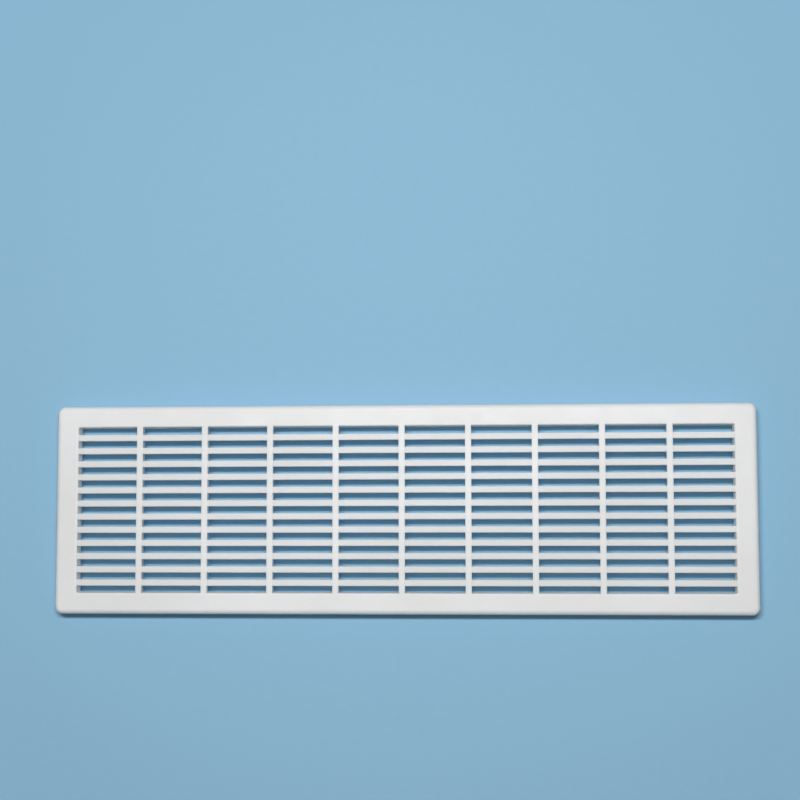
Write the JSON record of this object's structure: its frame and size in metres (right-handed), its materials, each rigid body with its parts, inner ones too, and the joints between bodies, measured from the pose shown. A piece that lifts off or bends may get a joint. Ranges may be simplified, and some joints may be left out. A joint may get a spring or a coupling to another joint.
{
  "type": "ventilation grille",
  "caption": "Rectangular louvre grille in one moulded piece: face flange, rear spigot, and raked slats crossed by upright ribs.",
  "frame": {"origin": "under the middle of the face, on the plane of the spigot's rear edge, on which it lies", "axes": "+Z out of the face, +X along the length, +Y up when it is fitted in a wall"},
  "size_m": [0.2286, 0.068, 0.0072],
  "materials": {
    "white_plastic": "satin white injection-moulded plastic"
  },
  "bodies": {
    "root": {"louvre_grille": "white_plastic"}
  },
  "joints": []
}
